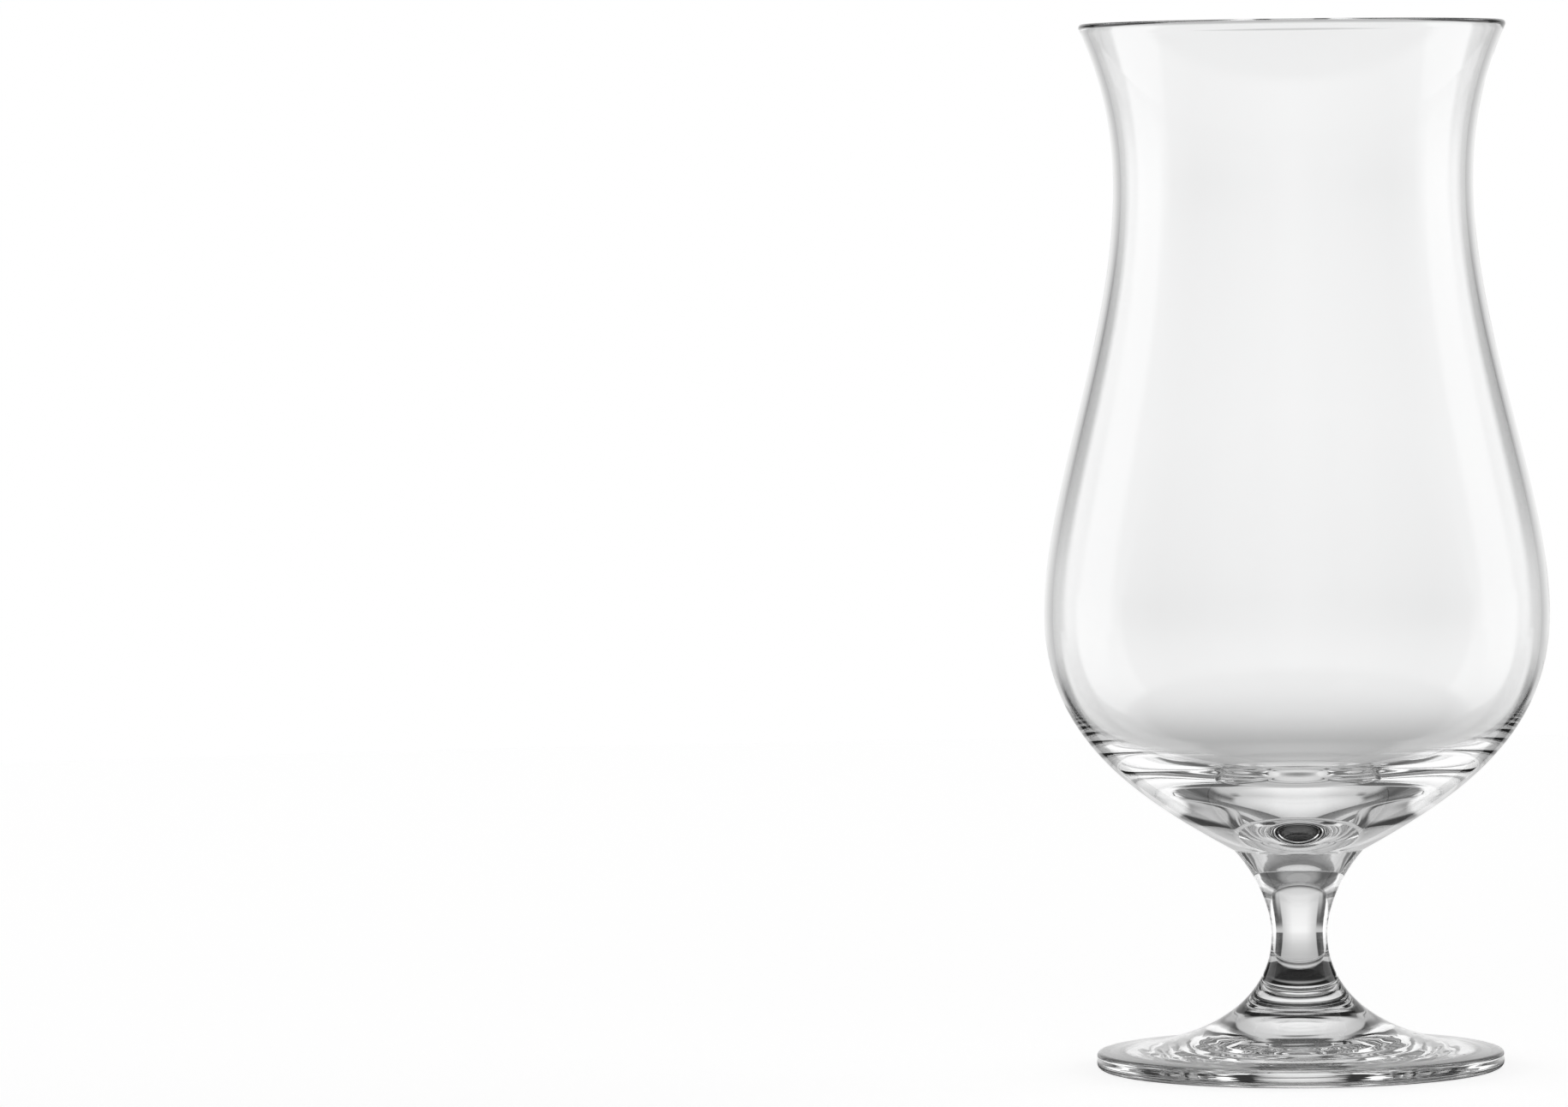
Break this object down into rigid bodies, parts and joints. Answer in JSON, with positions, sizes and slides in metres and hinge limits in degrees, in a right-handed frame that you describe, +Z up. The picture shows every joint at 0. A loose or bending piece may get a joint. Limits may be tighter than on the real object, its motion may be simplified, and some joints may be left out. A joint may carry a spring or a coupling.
{
  "type": "hurricane glass",
  "caption": "Clear footed hurricane glass with a tall tulip-shaped bowl, flared rim, short waisted stem and round foot.",
  "frame": {"origin": "centre of the foot's ring, on the table", "axes": "+Z up along the axis of the glass, from the foot to the rim; the glass is round, so X and Y are free"},
  "size_m": [0.0892, 0.0892, 0.185],
  "materials": {
    "bowl_glass": "thin blown clear glass, fire-polished inside and out",
    "stem_glass": "solid clear glass, fire-polished",
    "foot_glass": "pressed clear glass, fire-polished, with faint tool rings on its top"
  },
  "bodies": {
    "root": {"bowl": "bowl_glass", "stem": "stem_glass", "foot": "foot_glass"}
  },
  "joints": []
}
